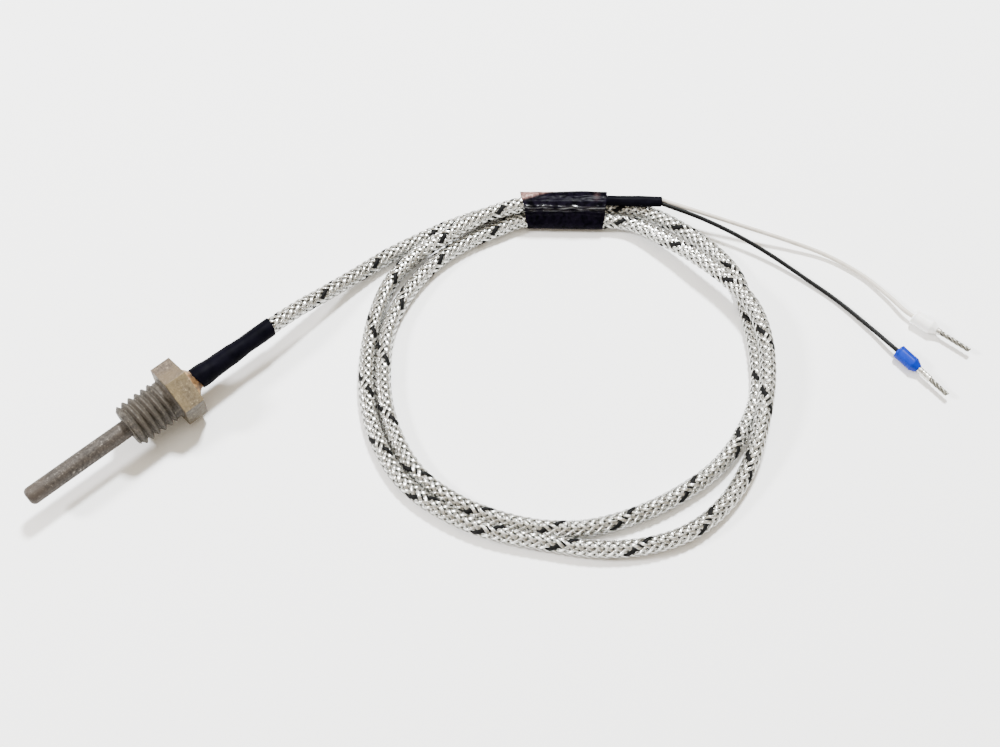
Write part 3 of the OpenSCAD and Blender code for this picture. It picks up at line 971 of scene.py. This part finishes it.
def build_sleeve():
    start, end = (Vector(tuple(p)) for p in from_boot([SLEEVE_START, SLEEVE_END]))
    length = (end - start).length / MM
    outer = [(0.05 + (length - 0.1) * n / SLEEVE_STEPS, SLEEVE_R_MM) for n in range(SLEEVE_STEPS + 1)]
    profile = [*outer, (length, 0.95), (length, 0.82), (length - 3, SLEEVE_BORE_MM),
               (3, SLEEVE_BORE_MM), (0, 0.82), (0, 0.95)]

    def reach(x, r, a):
        slant = 0.06 * math.sin(a + 1) * x / length
        if r < 0.9:
            return x + slant, r
        swell = 0.05 * math.sin(x * 0.5) + 0.05 * rough(x, a, 0.4, 6) + 0.03 * math.cos(2 * a)
        return x + slant, r * (0.98 + swell)

    mesh = turned_mesh("end_sleeve", profile, 48, axis_frame(start, end - start), reach, looped=True)
    return finish_piece("end_sleeve", mesh, MATERIALS["shrink"], ["lead_end_sleeve"])


end_sleeve = build_sleeve()

# ---------------------------------------------------------------- ferrules

COLLAR_LENGTH_MM = 4.8
COLLAR_TAPER_MM = 1.1
BARREL_R_MM = 0.6
BARREL_WALL_MM = 0.12
BARREL_GRIP_MM = 0.6     # how far the barrel reaches into the collar
CRIMP_TURN = 1.2         # radians
STRANDS = 5              # one in the middle and four round it
STRAND_LAY_MM = 3.8
STRAND_STEPS = 60


def collar_mesh(place, radius):
    """A moulded collar with a tapered front. x = 0 is its back end."""
    taper_at = COLLAR_LENGTH_MM - COLLAR_TAPER_MM
    profile = dense_profile([
        (0.05, radius - 0.06), (0.14, radius), (0.35, radius), (0.5, radius - 0.05),
        (taper_at - 0.2, radius - 0.04), (taper_at, radius - 0.07), (taper_at + 0.25, radius - 0.22),
        (COLLAR_LENGTH_MM - 0.25, 0.82), (COLLAR_LENGTH_MM, 0.72), (COLLAR_LENGTH_MM, 0.5),
        (1.5, 0.46), (0.6, radius - 0.45), (0.05, radius - 0.22), (0, radius - 0.15),
    ], 0.25)

    def mould(x, r, a):
        if r <= 0.9:
            return x, r
        flats = 0.012 * math.cos(8 * a) if 0.5 < x < taper_at else 0
        seam = 0.02 * math.exp(-((math.sin(a + 0.5)) / 0.06) ** 2)
        return x, r * (1 + flats + seam)

    return turned_mesh("collar", profile, 64, place, mould, looped=True)


def barrel_mesh(place, end):
    """A metal tube crimped in front of the collar, with its front at x = end."""
    back = COLLAR_LENGTH_MM - BARREL_GRIP_MM
    bore = BARREL_R_MM - BARREL_WALL_MM
    profile = dense_profile([
        (back, BARREL_R_MM), (end - 0.05, BARREL_R_MM), (end, BARREL_R_MM - 0.04), (end, bore),
        (back, bore)], 0.1)

    def crimp(x, r, a):
        into = x - COLLAR_LENGTH_MM
        pressed = 0.5 + 0.5 * math.tanh((into - 0.35) * 5)
        square = math.cos(2 * (a - CRIMP_TURN))
        ribs = 0.045 * max(0, math.sin(into * 9)) * max(0, square)
        return x, r * (1 - pressed * (0.05 + ribs) + pressed * 0.07 * square)

    return turned_mesh("barrel", profile, 48, place, crimp, looped=True)


def strand_mesh(place, index, first, last):
    """One strand of the twist, index 0 in the middle, from x = first to last."""
    start, along, side, up = place
    radius = 0.2 if index else 0.12
    rings = []
    for n in range(STRAND_STEPS + 1):
        x = first + (last - first) * n / STRAND_STEPS
        turn = 2 * math.pi * (x / STRAND_LAY_MM + index / (STRANDS - 1))
        spread = 0.24 + 0.012 * math.sin(x * 2.1 + index) if index else 0
        middle = start + (along * x + (side * math.cos(turn) + up * math.sin(turn)) * spread) * MM
        tip = 1 if n < STRAND_STEPS else 0.55
        rings.append([
            middle + (side * math.cos(b) + up * math.sin(b)) * (radius * tip * MM)
            for b in [2 * math.pi * k / 10 for k in range(10)]])
    return grid_mesh("strand", np.array(rings))


def build_ferrule(colour, wire, at, turn, barrel_length, strand_length):
    """Plastic collar, crimped metal barrel and the twisted strands that come out of it."""
    place = axis_frame(tuple(from_boot([at])[0]), (math.cos(turn), math.sin(turn), 0))
    # A collar's middle is at the height of its own radius, so that it lies on the table
    collar = collar_mesh(place, at[2] - 0.02)
    end = COLLAR_LENGTH_MM + barrel_length
    reach = end + strand_length - 0.05
    strands = []
    for w in range(STRANDS):
        short = 0.28 * ((w * 37) % 7) / 7 if w else 0.1
        strands.append(strand_mesh(place, w, end - 0.3, reach - short))
    return [
        finish_piece(f"{colour}_collar_moulding", collar, MATERIALS[colour],
                     [f"{colour}_ferrule_collar"]),
        finish_piece(f"{colour}_barrel_tube", barrel_mesh(place, end), MATERIALS["tin"],
                     [f"{colour}_ferrule_barrel"]),
        finish_piece(f"{colour}_twisted_strands", join_meshes("strands", strands),
                     MATERIALS["strand"], [f"{wire}_wire_strands"]),
    ]


black_end = build_ferrule("blue", "black", BLUE_AT, BLUE_TURN, 2.7, 4.1)
white_end = build_ferrule("white", "white", WHITE_AT, WHITE_TURN, 0.8, 6)

# ---------------------------------------------------------------- stage

LEFT_WINDOW_AIM = Vector((-0.005, 0, 0))  # the probe's middle, on the table


def build_stage():
    bpy.ops.mesh.primitive_plane_add(size=6, location=(0.05, -0.03, 0))
    floor = bpy.context.object
    floor.name = "floor"
    look = Surface("floor_white")
    look.feed("Base Color", look.ramp(look.grain(6, 2), [(0, 0.95), (1, 0.97)]))
    look.feed("Roughness", 0.9)
    floor.data.materials.append(look.material)


def area_light(name, aim, offset, size, power, colour):
    """A square light at offset from the place that it shines on."""
    light = bpy.data.lights.new(name, "AREA")
    light.shape = "SQUARE"
    light.size = size
    light.energy = power
    light.color = colour
    lamp = bpy.data.objects.new(name, light)
    lamp.location = aim + offset
    lamp.rotation_mode = "QUATERNION"
    lamp.rotation_quaternion = (-offset).to_track_quat("-Z", "Y")
    bpy.context.scene.collection.objects.link(lamp)


def build_light():
    """A main window behind the coil, a weaker low one to the left of the probe, a soft ceiling
    and a warm room. Left and behind are as the photograph's camera sees them."""
    world = bpy.data.worlds.new("studio")
    bpy.context.scene.world = world
    world.use_nodes = True
    background = world.node_tree.nodes["Background"]
    background.inputs["Color"].default_value = (1, 0.87, 0.68, 1)
    background.inputs["Strength"].default_value = 0.75
    right = Vector((math.cos(CAMERA_AZIMUTH), math.sin(CAMERA_AZIMUTH), 0))
    away = Vector((-right.y, right.x, 0))
    up = Vector((0, 0, 1))
    behind = right * 0.10 + away * 0.36 + up * 0.62
    area_light("back_window", AIM, behind, 0.10, 17, (0.93, 0.97, 1))
    area_light("left_window", LEFT_WINDOW_AIM, up * 0.38 - right * 0.42, 0.10, 6, (0.98, 0.98, 1))
    area_light("ceiling", AIM, up * 0.7, 0.5, 1.8, (1, 0.94, 0.84))


build_stage()
build_light()
